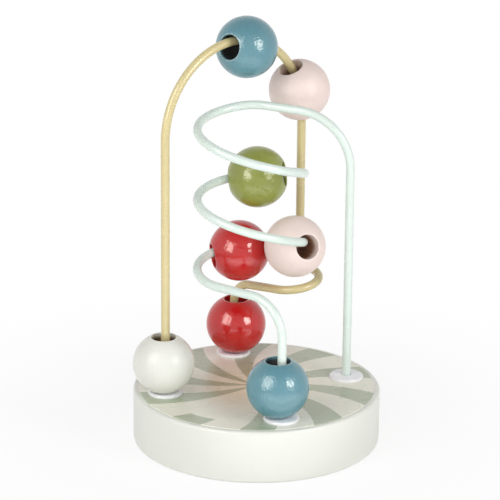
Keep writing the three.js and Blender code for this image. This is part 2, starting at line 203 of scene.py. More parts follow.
class BaseSizes(PropertyGroup):
    """Round base and the printed film on its top."""

    diameter: length("Diameter", "Width of the round base", extent("base_disc").x)
    thickness: length("Thickness", "Height of the base without the film", extent("base_disc").z)
    edge_radius: length("Edge Radius", "Rounding of the base's two edges", 1.5 * MM)
    socket_floor: length("Socket Floor", "Wood left under each wire end", 6.0 * MM)
    print_margin: length("Print Margin", "White rim left round the print", 2.7 * MM)
    print_thickness: length("Print Thickness", "Thickness of the printed film", 0.3 * MM)


class CollarSizes(PropertyGroup):
    """Plastic collars that seat the wire ends."""

    edge_distance: length("Edge Distance", "From the base's edge to a collar's middle", 14.5 * MM)
    flange_diameter: length("Flange Diameter", "Width of the flange on the print", 16.8 * MM)
    flange_height: length("Flange Height", "Height of the flange above the print", 1.8 * MM)
    edge_radius: length("Edge Radius", "Rounding of the flange's edge", 0.9 * MM)
    edge_turn: angle("Edge Turn", "How far that rounding turns before the dome takes over", 80.0)
    dome: length("Dome", "How far the flange falls from its hole to its edge", 0.35 * MM)
    lip_radius: length("Lip Radius", "Rounding of the hole's rim", 0.25 * MM)
    seat_chamfer: length("Seat Chamfer", "Chamfer of the flange against the print", 0.15 * MM)
    spigot_diameter: length("Spigot Diameter", "Width of the part that stands in the base", 9.0 * MM)
    spigot_length: length("Spigot Length", "Length of the part that stands in the base", 12.0 * MM)
    spigot_chamfer: length("Spigot Chamfer", "Chamfer of that part's foot", 0.4 * MM)
    ledge_height: length("Ledge Height", "Ledge that stops the coating inside the collar", 3.0 * MM)
    clearance: length("Clearance", "Gap round the spigot and round the coating", 0.3 * MM)


class WireSizes(PropertyGroup):
    """The two coated wires and the way each one goes. Heights are above the print."""

    coating_diameter: length("Coating Diameter", "Width of a coated wire", 4.2 * MM)
    hole_diameter: length("Hole Diameter", "Hole in the coating for the steel core", 3.0 * MM)
    coil_centre: offset("Coil Centre", "Where the coil stands across the base", -3.8 * MM)
    coil_radius: length("Coil Radius", "Radius of the coil at the wire's middle", 25.4 * MM)
    coil_turns: count("Coil Turns", "Whole turns of the coil", 2, 1, 6)
    coil_start: length("Coil Start", "Height at which the coil starts", 136.4 * MM)
    coil_foot: length("Coil Foot", "Height at which the coil ends", 54.75 * MM)
    coil_ease: angle("Coil Ease", "Turn over which the coil levels out at each end", 30.0)
    top_lean: angle("Top Lean", "Lean of the coil at its top", 5.4)
    top_lean_towards: angle("Top Lean Towards", "Direction in which the coil's top leans", 17.0)
    foot_lean: angle("Foot Lean", "Lean of the coil at its foot", 7.0)
    foot_lean_towards: angle("Foot Lean Towards", "Direction in which the coil's foot leans", 41.0)
    top_bend: length("Top Bend", "Radius of the bend at the top of the mint riser", 27.5 * MM)
    front_bend: length("Front Bend", "Radius of the bend above the front collar", 17.7 * MM)
    far_leg_outside: length("Far Leg Outside", "How far the far leg stands outside the collars", 2.5 * MM)
    far_leg_angle: angle("Far Leg Angle", "Direction of the arch's far leg from the middle", 49.5)
    arch_spring: length("Arch Spring", "Height at which the arch starts", 126.0 * MM)
    far_leg_end: length("Far Leg End", "Height at which the far leg ends", 60.0 * MM)
    far_bend: length("Far Bend", "Radius of the bend under the far leg", 12.5 * MM)
    loop_heading: angle("Loop Heading", "Direction in which the low loop starts", -66.0)
    loop_radius: length("Loop Radius", "Radius of the low loop", 11.5 * MM)
    loop_slope: angle("Loop Slope", "Fall of the low loop", 8.5)
    back_bend: length("Back Bend", "Radius of the bend above the back collar", 13.0 * MM)


class BeadSizes(PropertyGroup):
    """Turned beads. Each one's place and tilt come from its solid."""

    diameter: length("Diameter", "Width of a bead", extent("bead_white_left").x)
    bore_diameter: length("Bore Diameter", "Hole through a bead", 11.8 * MM)
    rim_radius: length("Rim Radius", "Rounding of the hole's two rims", 0.5 * MM)


class PrintLook(PropertyGroup):
    """Curved rays printed on the film."""

    rays: count("Rays", "Dark rays round the print", 10, 2, 40)
    ray_share: share("Ray Share", "Part of each step that the dark ray takes", 0.46)
    start: angle("Start", "Direction of the first dark ray at the middle", 21.7)
    sweep: angle("Sweep", "How far a ray bends back over the first millimetre", 0.16)
    sweep_growth: angle("Sweep Growth", "How much more it bends for each millimetre outwards", 0.0027)
    plain_ray: angle("Plain Ray", "Direction of the ray whose inner part is left plain", -122.3)
    plain_radius: length("Plain Radius", "Where that ray starts", 48.5 * MM)
    plain_fade: length("Plain Fade", "Distance over which that ray comes in", 0.6 * MM)
    edge_blur: length("Edge Blur", "Softness of the printed edges", 0.12 * MM)
    pale: colour("Pale Ink", "Colour between the rays", 239, 238, 223)
    sage: colour("Sage Ink", "Colour of the dark rays", 180, 189, 165)
    # Darker, warmer middle of the print: partly the print's own tone, partly painted shade and reflection
    # from the beads above.
    warmth: colour("Warm Middle", "Tint over both inks at the middle", 249, 239, 226)
    warm_core: length("Warm Core", "How far that tint keeps its strength", 10.5 * MM)
    warm_radius: length("Warm Radius", "How far that tint reaches", 42.0 * MM)


class Finishes(PropertyGroup):
    """Colours of the base, the collars and the wires."""

    base_paint: colour("Base Paint", "Paint of the base", 233, 234, 226)
    collar_plastic: colour("Collar Plastic", "Plastic of the collars", 247, 247, 250)
    mint_coating: colour("Mint Coating", "Coating of the coiled wire", 223, 236, 228)
    yellow_coating: colour("Yellow Coating", "Coating of the arched wire", 217, 202, 151)
    steel: colour("Steel", "Steel inside the coatings", 150, 152, 156)


def lacquer_group(tint, paint, bore, roughness, peel, spray, gloss):
    """A group with the settings of one lacquer."""
    settings = {
        "paint": colour("Paint", f"Colour of the {tint} lacquer", *paint),
        # The bore colour is the hole's bare timber, darkened as painted shade for the dim inside of the
        # hole.
        "bore": colour("Bore", f"Wood in the hole of a {tint} bead", *bore),
        "roughness": share("Roughness", f"Roughness of the {tint} lacquer", roughness),
        "peel": length("Peel", f"Depth of the uneven skin of the {tint} lacquer", peel),
        "spray": length("Spray", f"How far the {tint} lacquer reaches into the hole", spray),
        "gloss": share("Gloss", f"Strength of the reflections in the {tint} lacquer", gloss),
    }
    return type(f"{tint.title()}Lacquer", (PropertyGroup,), {"__annotations__": settings})


# Each lacquer's paint, hole colour (timber darkened as painted shade), roughness, uneven skin, reach into
# the hole and gloss
WhiteLacquer = lacquer_group("white", (231, 231, 223), (128, 106, 70), 0.22, 0.01 * MM, 3.2 * MM, 0.14)
RedLacquer = lacquer_group("red", (198, 32, 33), (98, 22, 20), 0.12, 0.06 * MM, 6.0 * MM, 0.5)
BlueLacquer = lacquer_group("blue", (93, 142, 154), (34, 42, 46), 0.18, 0.21 * MM, 2.2 * MM, 0.5)
PinkLacquer = lacquer_group("pink", (239, 220, 213), (178, 128, 100), 0.5, 0.006 * MM, 7.5 * MM, 0.3)
GreenLacquer = lacquer_group("green", (142, 150, 66), (66, 64, 30), 0.16, 0.17 * MM, 2.2 * MM, 0.5)


class StageSettings(PropertyGroup):
    """Camera, lamps and floor."""

    target: spot("Target", "Point that the camera looks at", -3.673 * MM, 0.970 * MM, 95.66 * MM)
    distance: length("Distance", "From the camera to the target", 1.3)
    azimuth: angle("Azimuth", "Turn of the camera round the object", -14.8)
    elevation: angle("Elevation", "Height of the camera above the horizon", 18.668)
    roll: angle("Roll", "Tilt of the picture", 0.5)
    lens: number("Lens", "Focal length in millimetres", 195.36, min=1.0, unit="CAMERA")
    lamp_distance: length("Lamp Distance", "From the target to a softbox", 1.0)
    shine_gap: length("Shine Gap", "How far behind its softbox a shine lamp stands", 20.0 * MM)
    shine_tint: colour("Shine Tint", "Colour of the highlights", 255, 248, 234)
    right_side: direction("Right Side", "Where the right softbox stands", 0.536, -0.751, 0.387)
    right_size: panel_size("Right Size", "Width and height of the right softbox", 0.38, 0.46)
    right_watts: watts("Right Softbox", "Power of the softbox on the right", 3.2)
    right_shine: watts("Right Shine", "Extra power of the right softbox in gloss", 3.6)
    left_side: direction("Left Side", "Where the left softbox stands", -0.744, -0.468, 0.472)
    left_size: panel_size("Left Size", "Width and height of the left softbox", 0.6, 0.7)
    left_watts: watts("Left Softbox", "Power of the softbox on the left", 2.9)
    left_shine: watts("Left Shine", "Extra power of the left softbox in gloss", 6.6)
    card_place: spot("Card Place", "Middle of the card in front", -68.0 * MM, -262.0 * MM, 2.0 * MM)
    card_size: panel_size("Card Size", "Width and depth of that card", 0.5, 0.3)
    card_watts: watts("Front Card", "Power of the card on the floor in front", 0.48)
    near_place: spot("Near Card Place", "Middle of the card by the base", -30.0 * MM, -115.0 * MM, 2.0 * MM)
    near_size: panel_size("Near Card Size", "Width and depth of that card", 0.3, 0.1)
    near_shine: watts("Near Card", "Power of the card by the base, all of it in gloss", 0.085)
    fill: share("Fill", "Light from the walls all round", 0.77)
    fill_lean: share("Fill Lean", "How much more of it comes from the fill side", 0.36)
    fill_side: direction("Fill Side", "Where the brightest wall stands", -0.7, -0.7, -0.1)
    ceiling: share("Ceiling", "Light from straight overhead", 0.34)
    wall_top: share("Wall Top", "How far up the walls look white", 0.5)
    floor: colour("Floor", "Colour of the floor", 247, 247, 247)
    floor_width: length("Floor Width", "Width of the square floor", 8.0)
    floor_glow: share("Floor Glow", "Part of the floor that stays white where a shadow falls", 0.84)
    shadow_core: length("Shadow Core", "How far from the middle the shadow is whole", 72.0 * MM)
    shadow_reach: length("Shadow Reach", "How far from the middle the floor is all white", 0.24)


class TrackSettings(PropertyGroup):
    """Everything that can be changed before the pieces are added."""

    base: group(BaseSizes, "Base", "Base and print")
    collars: group(CollarSizes, "Collars", "Collars")
    wires: group(WireSizes, "Wires", "Coated wires")
    beads: group(BeadSizes, "Beads", "Beads")
    rays: group(PrintLook, "Print", "Printed rays")
    finishes: group(Finishes, "Finishes", "Colours of the other pieces")
    white: group(WhiteLacquer, "White Lacquer", "Look of the white bead")
    red: group(RedLacquer, "Red Lacquer", "Look of the red beads")
    blue: group(BlueLacquer, "Blue Lacquer", "Look of the blue beads")
    pink: group(PinkLacquer, "Pink Lacquer", "Look of the pink beads")
    green: group(GreenLacquer, "Green Lacquer", "Look of the green bead")
    stage: group(StageSettings, "Stage", "Camera, lamps and floor")


# Meshes


def discard(blocks, name):
    """Takes away an older thing of that name, so that an operator can run again."""
    old = blocks.get(name)
    if old is not None:
        blocks.remove(old)


def new_object(name, data):
    """A mesh, lamp or camera put into the scene."""
    discard(bpy.data.objects, name)
    thing = bpy.data.objects.new(name, data)
    bpy.context.scene.collection.objects.link(thing)
    return thing


def new_piece(name, vertices, faces):
    """A mesh object with outward, smooth faces."""
    mesh = bpy.data.meshes.new(name)
    mesh.from_pydata([tuple(v) for v in vertices], [], faces)
    shaped = bmesh.new()
    shaped.from_mesh(mesh)
    bmesh.ops.recalc_face_normals(shaped, faces=shaped.faces[:])
    shaped.to_mesh(mesh)
    shaped.free()
    mesh.shade_smooth()
    mesh.set_sharp_from_angle(angle=SHARP_ANGLE)
    return new_object(name, mesh)


def arc(centre, radius, start, end, steps):
    """Points of [radius, height] round a centre, from one angle in degrees to another."""
    turns = np.radians(np.linspace(start, end, steps + 1))
    return [(centre[0] + radius * math.cos(t), centre[1] + radius * math.sin(t)) for t in turns]


def full_turn(steps):
    """Angles of even steps round a circle."""
    return 2 * math.pi * np.arange(steps) / steps


def lathe(profile, segments):
    """Vertices and faces of a closed profile turned round Z. A point at radius 0 becomes one vertex."""
    rings, vertices, faces = [], [], []
    for radius, height in profile:
        if radius < SHORTEST_RUN:
            rings.append([len(vertices)] * segments)
            vertices.append((0.0, 0.0, height))
            continue
        rings.append(list(range(len(vertices), len(vertices) + segments)))
        vertices += [(radius * math.cos(t), radius * math.sin(t), height) for t in full_turn(segments)]
    for low, high in zip(rings, rings[1:] + rings[:1]):
        for i in range(segments):
            j = (i + 1) % segments
            corners = list(dict.fromkeys((low[i], low[j], high[j], high[i])))
            if len(corners) > 2:
                faces.append(corners)
    return vertices, faces


def drill(piece, profile, centres):
    """Cuts a turned hole into a piece at each centre."""
    vertices, faces = [], []
    for centre in centres:
        points, sides = lathe(profile, COLLAR_SEGMENTS)
        faces += [[len(vertices) + i for i in side] for side in sides]
        vertices += [tuple(np.array(p) + centre) for p in points]
    cutter = new_piece("socket_drill", vertices, faces)
    cut = piece.modifiers.new("sockets", "BOOLEAN")
    cut.operation = "DIFFERENCE"
    cut.solver = "EXACT"
    cut.object = cutter
    drilled = piece.evaluated_get(bpy.context.evaluated_depsgraph_get())
    solid, mesh = piece.data, bpy.data.meshes.new_from_object(drilled)
    piece.modifiers.clear()
    piece.data = mesh
    bpy.data.meshes.remove(solid)
    drill_mesh = cutter.data
    bpy.data.objects.remove(cutter)
    bpy.data.meshes.remove(drill_mesh)
    mesh.set_sharp_from_angle(angle=SHARP_ANGLE)


def keep_flats(piece):
    """Shades large flat faces as flat where they meet a rounded edge."""
    piece.modifiers.new("flat faces", "WEIGHTED_NORMAL").keep_sharp = True


def settle(piece, node, material):
    """Gives a piece its material and its solid's body, and hides the solid."""
    piece.data.materials.clear()
    piece.data.materials.append(material)
    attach(piece, frame["nodes"][node]["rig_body"])
    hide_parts(node)


# Wire routes


def unit(vector):
    """An arrow of length 1 in the same direction."""
    return vector / np.linalg.norm(vector)


def polar(radius, turn, height=0.0):
    """The point at that distance and angle round Z."""
    return np.array((radius * math.cos(turn), radius * math.sin(turn), height))


class Stretch:
    """A length of wire: where it is at each share of its way, and the angle that it turns through."""

    def __init__(self, at, turn=0.0):
        self.at = at
        self.turn = turn

    def heading(self, part):
        """The direction in which the wire runs there."""
        return unit(self.at(part + HEADING_SHARE) - self.at(part - HEADING_SHARE))

    def reversed(self):
        """The same stretch, run the other way."""
        return Stretch(lambda part: self.at(1.0 - part), self.turn)


def straight(start, end):
    """A stretch from one point to another."""
    return Stretch(lambda part: start + (end - start) * part)


def bend(start, heading, new_heading, radius):
    """A round bend that takes a wire from one heading to another."""
    axis = unit(np.cross(heading, new_heading))
    turn = math.acos(max(-1.0, min(1.0, float(heading @ new_heading))))
    centre = start + radius * np.cross(axis, heading)
    arm = start - centre
    across = np.cross(axis, arm)
    return Stretch(lambda part: centre + arm * math.cos(turn * part) + across * math.sin(turn * part), turn)


def bend_to_post(start, heading, post, radius):
    """The straight run and bend that bring a wire down onto an upright post."""
    room = math.hypot(post[0] - start[0], post[1] - start[1])
    fall = -heading[2]
    held = min(radius, room / (1.0 - fall))
    run = (room - held * (1.0 - fall)) / math.hypot(heading[0], heading[1])
    turning = start + heading * run
    return straight(start, turning), bend(turning, heading, DOWN, held)


class Posts:
    """Where the wires stand on the base, and the height of the print."""

    def __init__(self, settings):
        self.deck = settings.base.thickness + settings.base.print_thickness
        self.circle = settings.base.diameter / 2 - settings.collars.edge_distance
        self.right, self.back, self.left, self.front = (
            polar(self.circle, math.radians(degrees)) for _, degrees in COLLARS
        )
        self.spigot_end = self.deck - settings.collars.spigot_length
        self.coating_end = self.spigot_end + settings.collars.ledge_height + settings.collars.clearance

    def all(self):
        """The four posts in the collars' order."""
        return self.right, self.back, self.left, self.front


def coil_stretch(wires, posts):
    """A circle that drops steadily to its foot, level at both ends and leaning more lower down."""
    centre = np.array((wires.coil_centre, 0.0, 0.0))
    radius = wires.coil_radius
    arrival, departure = posts.right - centre, posts.front - centre
    start = math.atan2(arrival[1], arrival[0]) + math.acos(radius / np.linalg.norm(arrival))
    leave = math.atan2(departure[1], departure[0]) - math.acos(radius / np.linalg.norm(departure))
    sweep = 2 * math.pi * wires.coil_turns + (leave - start) % (2 * math.pi)
    ease = wires.coil_ease

    def eased(turn):
        if turn < ease:
            return turn**2 / (2 * ease)
        if turn > sweep - ease:
            return sweep - ease - (sweep - turn) ** 2 / (2 * ease)
        return turn - ease / 2

    drop = (wires.coil_start - wires.coil_foot) / eased(sweep)
    top_lean = polar(math.tan(wires.top_lean), wires.top_lean_towards)
    foot_lean = polar(math.tan(wires.foot_lean), wires.foot_lean_towards)

    def at(part):
        arm = polar(radius, start + part * sweep)
        lean = top_lean + (foot_lean - top_lean) * part
        height = wires.coil_start - drop * eased(part * sweep) - arm @ lean
        return arm + centre + UP * (posts.deck + height)

    return Stretch(at, sweep)


def mint_route(wires, posts):
    """Up from the right collar, over, down the coil, and into the front collar."""
    coil = coil_stretch(wires, posts)
    top_run, top_bend = bend_to_post(coil.at(0.0), -coil.heading(0.0), posts.right, wires.top_bend)
    front_run, front_bend = bend_to_post(coil.at(1.0), coil.heading(1.0), posts.front, wires.front_bend)
    return [
        straight(posts.right + UP * posts.coating_end, top_bend.at(1.0)),
        top_bend.reversed(),
        top_run.reversed(),
        coil,
        front_run,
        front_bend,
        straight(front_bend.at(1.0), posts.front + UP * posts.coating_end),
    ]


def loop_stretch(wires, posts, start, heading):
    """The low loop: a gently falling circle, taken clockwise, that leaves on the line to the back post."""
    level = unit(heading * (1.0, 1.0, 0.0))
    radius = wires.loop_radius
    centre = (start + radius * np.array((level[1], -level[0], 0.0))) * (1.0, 1.0, 0.0)
    arm, target = start - centre, posts.back - centre
    begin = math.atan2(arm[1], arm[0])
    leave = math.atan2(target[1], target[0]) + math.acos(radius / np.linalg.norm(target))
    sweep = (begin - leave) % (2 * math.pi)
    fall = radius * sweep * math.tan(wires.loop_slope)
    return Stretch(lambda part: centre + polar(radius, begin - part * sweep, start[2] - part * fall), sweep)


def yellow_route(wires, posts):
    """Up from the left collar, over the arch, down, round the low loop, and into the back collar."""
    far_leg = polar(posts.circle + wires.far_leg_outside, wires.far_leg_angle)
    middle = (posts.left + far_leg) / 2 + UP * (posts.deck + wires.arch_spring)
    half_span = (far_leg - posts.left) / 2
    rise = UP * np.linalg.norm(half_span)

    def over(part):
        return middle - half_span * math.cos(math.pi * part) + rise * math.sin(math.pi * part)

    arch = Stretch(over, math.pi)
    far_end = far_leg + UP * (posts.deck + wires.far_leg_end)
    heading = polar(math.cos(wires.loop_slope), wires.loop_heading, -math.sin(wires.loop_slope))
    far_bend = bend(far_end, DOWN, heading, wires.far_bend)
    loop = loop_stretch(wires, posts, far_bend.at(1.0), heading)
    back_run, back_bend = bend_to_post(loop.at(1.0), loop.heading(1.0), posts.back, wires.back_bend)
    return [
        straight(posts.left + UP * posts.coating_end, arch.at(0.0)),
        arch,
        straight(arch.at(1.0), far_end),
        far_bend,
        loop,
        back_run,
        back_bend,
        straight(back_bend.at(1.0), posts.back + UP * posts.coating_end),
    ]


def sampled(stretches):
    """Points along a wire and the heading at each, close together where it turns."""
    points, headings = [], []
    for stretch in stretches:
        if np.linalg.norm(stretch.at(1.0) - stretch.at(0.5)) < SHORTEST_RUN:
            continue
        steps = max(1, math.ceil(stretch.turn / BEND_STEP))
        for i in range(1 if points else 0, steps + 1):
            points.append(stretch.at(i / steps))
            headings.append(stretch.heading(i / steps))
    return points, headings


def swept_coating(stretches, radius, hole_radius):
    """Vertices and faces of a tube along a wire, open at both ends for its steel core."""
    points, headings = sampled(stretches)
    vertices, faces, rings = [], [], []
    side = unit(np.cross(headings[0], ASIDE))
    for point, heading in zip(points, headings):
        side = unit(side - heading * (side @ heading))
        lift = np.cross(heading, side)
        ring = []
        for size in (radius, hole_radius):
            ring.append(list(range(len(vertices), len(vertices) + WIRE_SIDES)))
            around = [math.cos(t) * side + math.sin(t) * lift for t in full_turn(WIRE_SIDES)]
            vertices += [point + size * arm for arm in around]
        rings.append(ring)
    edges = [(i, (i + 1) % WIRE_SIDES) for i in range(WIRE_SIDES)]
    for (outer, inner), (next_outer, next_inner) in zip(rings, rings[1:]):
        faces += [(outer[i], outer[j], next_outer[j], next_outer[i]) for i, j in edges]
        faces += [(inner[j], inner[i], next_inner[i], next_inner[j]) for i, j in edges]
    for outer, inner in (rings[0], rings[-1]):
        faces += [(outer[i], outer[j], inner[j], inner[i]) for i, j in edges]
    return vertices, faces


# Materials


class Sheet:
    """A node sheet, with short calls that add nodes and join them up."""

    def __init__(self, tree):
        self.tree = tree

    def put(self, node, values):
        """Sets a node's sockets, or joins them to what makes their values."""
        for key, value in values.items():
            if isinstance(value, bpy.types.NodeSocket):
                self.tree.links.new(value, node.inputs[key])
            else:
                node.inputs[key].default_value = value

    def add(self, kind, values=None, **choices):
        """A new node with its sockets and choices set."""
        node = self.tree.nodes.new(kind)
        for key, value in choices.items():
            setattr(node, key, value)
        self.put(node, values or {})
        return node

    def seen(self):
        """1 for rays that show a thing, straight or in gloss, and 0 for those that carry its light."""
        path = self.add("ShaderNodeLightPath").outputs
        either = self.math("MAXIMUM", path["Is Camera Ray"], path["Is Glossy Ray"])
        return self.math("MAXIMUM", either, path["Is Transmission Ray"])

    def math(self, operation, *values):
        """A number worked out from others."""
        return self.add("ShaderNodeMath", dict(enumerate(values)), operation=operation).outputs[0]

    def times(self, first, second):
        """Two numbers multiplied."""
        return self.math("MULTIPLY", first, second)

    def stretch(self, place, scale):
        """A place with its X, Y and Z scaled."""
        return self.add("ShaderNodeVectorMath", {0: place, 1: scale}, operation="MULTIPLY").outputs[0]

    def parts(self, place):
        """X, Y and Z of a place."""
        return self.add("ShaderNodeSeparateXYZ", {0: place}).outputs

    def ramp(self, value, low, high, to_low=0.0, to_high=1.0, smooth=True):
        """Takes low..high to to_low..to_high and holds the ends."""
        kind = "SMOOTHSTEP" if smooth else "LINEAR"
        values = {0: value, 1: low, 2: high, 3: to_low, 4: to_high}
        return self.add("ShaderNodeMapRange", values, interpolation_type=kind).outputs[0]

    def wander(self, noise, low, high):
        """A value that goes from low to high with soft noise."""
        return self.ramp(noise, NOISE_LOW, NOISE_HIGH, low, high)

    def mix(self, part, first, second, blend="MIX"):
        """First colour where part is 0, second where it is 1."""
        node = self.add("ShaderNodeMix", {0: part, 6: first, 7: second}, data_type="RGBA", blend_type=blend)
        return node.outputs[2]

    def fleck(self, first, second, noise, part=1.0, low=NOISE_LOW, high=NOISE_HIGH):
        """First colour, with up to that part of the second as the noise goes from low to high."""
        return self.mix(self.ramp(noise, low, high, 0.0, part), first, second)

    def skin(self, *layers):
        """Raises the surface by one (height from 0 to 1, depth in metres) on top of another."""
        normal = {}
        for height, depth in layers:
            values = {"Strength": 1.0, "Distance": depth, "Height": height, **normal}
            normal = {"Normal": self.add("ShaderNodeBump", values).outputs[0]}
        return normal["Normal"]


class Finish(Sheet):
    """A material's node sheet. Here is the place on the piece, in metres from its own origin."""

    def __init__(self, name):
        discard(bpy.data.materials, name)
        self.material = bpy.data.materials.new(name)
        self.material.use_nodes = True
        super().__init__(self.material.node_tree)
        self.shader = self.tree.nodes["Principled BSDF"]
        self.here = self.add("ShaderNodeTexCoord").outputs["Object"]

    def shade(self, **values):
        """Sets the surface's own sockets, named with _ for each space."""
        self.put(self.shader, {key.replace("_", " "): value for key, value in values.items()})
        return self.material

    def reach(self):
        """Distance from the piece's Z axis."""
        flat = self.stretch(self.here, (1.0, 1.0, 0.0))
        return self.add("ShaderNodeVectorMath", {0: flat}, operation="LENGTH").outputs["Value"]

    def noise(self, size, detail=2.0, rough=0.5, scale=None):
        """Soft noise whose spots are about that size in metres, from 0 to 1. A low scale draws them out."""
        place = self.here if scale is None else self.stretch(self.here, scale)
        values = {"Vector": place, "Scale": 1.0 / size, "Detail": detail, "Roughness": rough}
        return self.add("ShaderNodeTexNoise", values).outputs[0]


def tinted(value, factor):
    """A colour made lighter or darker."""
    return (*[min(1.0, channel * factor) for channel in value[:3]], 1.0)


def paler(value, part):
    """A colour taken part of the way to white."""
    return (*[channel + (1.0 - channel) * part for channel in value[:3]], 1.0)


def lacquer_finish(name, look, beads):
    """Sprayed lacquer over turned timber, worn thin at the rims; the hole's bare timber is darkened as
    painted shade.
    """
    sheet = Finish(name)
    along = sheet.math("ABSOLUTE", sheet.parts(sheet.here)[2])
    reach = sheet.reach()
    bore = beads.bore_diameter / 2
    mouth = math.sqrt((beads.diameter / 2) ** 2 - bore**2)
    bare_edge, covered_edge = bore + 0.04 * MM, bore + 0.3 * MM
    worn_edge, unworn_edge = bore + 0.5 * MM, bore + 1.1 * MM
    mist_edge, mist_cover = mouth - 0.3 * look.spray, 0.85

    grain = sheet.noise(0.9 * MM, detail=3.0, rough=0.6, scale=(1.0, 1.0, 0.12))
    cloud = sheet.noise(9.0 * MM)
    peel = sheet.noise(1.1 * MM, detail=1.0, scale=(1.0, 1.0, 0.6))
    turning = sheet.noise(0.7 * MM, detail=1.0, scale=(0.04, 0.04, 1.0))

    body = sheet.fleck(look.paint, tinted(look.paint, 0.93), grain, part=0.5, low=0.35, high=0.75)
    body = sheet.fleck(body, tinted(look.paint, 1.05), cloud, part=0.5, low=0.35, high=0.65)
    # Bare timber in the hole, its colour darkened as painted shade for the inside of the hole.
    hole_wood_and_shade = sheet.fleck(tinted(look.bore, 0.6), look.bore, grain)
    sprayed = sheet.ramp(reach, bare_edge, covered_edge)
    mist = sheet.ramp(along, mouth - look.spray, mist_edge, 0.0, mist_cover)
    cover = sheet.math("MAXIMUM", sprayed, mist)
    worn = sheet.times(sheet.ramp(reach, unworn_edge, worn_edge), sheet.ramp(peel, 0.1, 0.7))
    worn = sheet.times(worn, sprayed)
    body = sheet.mix(sheet.times(worn, 0.8), body, paler(look.paint, 0.28))

    shine = sheet.wander(cloud, look.roughness * 0.85, look.roughness * 1.2)
    dull = sheet.ramp(cover, 0.0, 1.0, 0.5, 0.0)
    return sheet.shade(
        Base_Color=sheet.mix(cover, hole_wood_and_shade, body),
        Roughness=sheet.math("ADD", shine, dull),
        IOR=1.6,
        Specular_IOR_Level=look.gloss,
        Normal=sheet.skin((peel, look.peel), (grain, look.peel * 0.2), (turning, 0.004 * MM)),
    )


def base_finish(name, paint, base):
    """Satin paint over a wooden disc: a fine stipple, and faint rubbing along the edges."""
    sheet = Finish(name)
    height = sheet.parts(sheet.here)[2]
    stipple = sheet.noise(0.8 * MM, rough=0.6)
    cloud = sheet.noise(24.0 * MM)
    streak = sheet.noise(3.0 * MM, scale=(1.0, 1.0, 0.15))

    body = sheet.fleck(paint, tinted(paint, 0.965), cloud, part=0.6)
    body = sheet.fleck(body, tinted(paint, 0.97), streak, part=0.35, low=0.4, high=0.8)
    low = sheet.ramp(height, 0.2 * MM, 2.2 * MM, 1.0, 0.0)
    high = sheet.ramp(height, base.thickness - 1.6 * MM, base.thickness - 0.3 * MM)
    edges = sheet.math("MAXIMUM", low, high)
    rubbed = sheet.times(edges, sheet.ramp(stipple, 0.45, 0.7, 0.0, 0.35))
    return sheet.shade(
        Base_Color=sheet.mix(rubbed, body, tinted(paint, 0.86)),
        Roughness=sheet.wander(cloud, 0.36, 0.46),
        IOR=1.48,
        Normal=sheet.skin((stipple, 0.01 * MM), (streak, 0.012 * MM)),
    )


def print_finish(name, rays):
    """Curved rays in two inks under a satin film that lies a little unevenly on the wooden base."""
    sheet = Finish(name)
    across, deep, _ = sheet.parts(sheet.here)
    reach = sheet.reach()
    step = 2 * math.pi / rays.rays

    turn = sheet.math("ARCTAN2", deep, across)
    sweep = sheet.math("MULTIPLY_ADD", reach, rays.sweep_growth / MM**2, rays.sweep / MM)
    line = sheet.math("MULTIPLY_ADD", reach, sweep, turn)
    steps_on = sheet.math("MULTIPLY_ADD", line, 1.0 / step, 0.5 - rays.start / step)
    off_ray = sheet.math("ABSOLUTE", sheet.math("SUBTRACT", sheet.math("FRACT", steps_on), 0.5))
    outside = sheet.times(sheet.math("SUBTRACT", off_ray, rays.ray_share / 2), step)
    outside = sheet.times(outside, reach)
    ray = sheet.ramp(outside, -rays.edge_blur, rays.edge_blur, 1.0, 0.0)
    inner = sheet.ramp(reach, rays.plain_radius, rays.plain_radius + rays.plain_fade, 1.0, 0.0)
    plain = sheet.times(sheet.math("COMPARE", line, rays.plain_ray, step / 2), inner)
    ray = sheet.times(ray, sheet.math("SUBTRACT", 1.0, plain))

    grain = sheet.noise(1.1 * MM, detail=3.0, rough=0.6, scale=(0.09, 1.0, 1.0))
    cloud = sheet.noise(16.0 * MM)
    speck = sheet.noise(0.5 * MM, detail=1.0)
    ink = sheet.mix(ray, rays.pale, rays.sage)
    # Darker, warmer middle: partly the print's tone, partly painted shade and reflection from the beads
    # above.
    middle_tone_and_shade_mask = sheet.ramp(reach, rays.warm_core, rays.warm_radius, 1.0, 0.0)
    ink = sheet.mix(middle_tone_and_shade_mask, ink, rays.warmth, "MULTIPLY")
    ink = sheet.fleck(ink, tinted(rays.sage, 0.8), grain, part=0.1, low=0.4, high=0.75)
    ink = sheet.fleck(ink, rays.pale, cloud, part=0.08, low=0.35, high=0.7)
    return sheet.shade(
        Base_Color=ink,
        Roughness=sheet.wander(cloud, 0.24, 0.32),
        IOR=1.5,
        Normal=sheet.skin((speck, 0.003 * MM), (grain, 0.004 * MM)),
    )


def collar_finish(name, plastic, collars):
    """White moulded plastic: a smooth flange with faint flow marks and a slightly dulled edge."""
    sheet = Finish(name)
    cloud = sheet.noise(4.0 * MM)
    speck = sheet.noise(0.35 * MM)
    flange = collars.flange_diameter / 2
    edge = sheet.ramp(sheet.reach(), flange - 0.9 * MM, flange - 0.1 * MM, 0.0, 0.5)
    body = sheet.fleck(plastic, tinted(plastic, 0.96), cloud, part=0.6)
    return sheet.shade(
        Base_Color=sheet.mix(edge, body, tinted(plastic, 0.93)),
        Roughness=sheet.wander(cloud, 0.24, 0.34),
        IOR=1.5,
        Normal=sheet.skin((speck, 0.002 * MM), (cloud, 0.01 * MM)),
    )


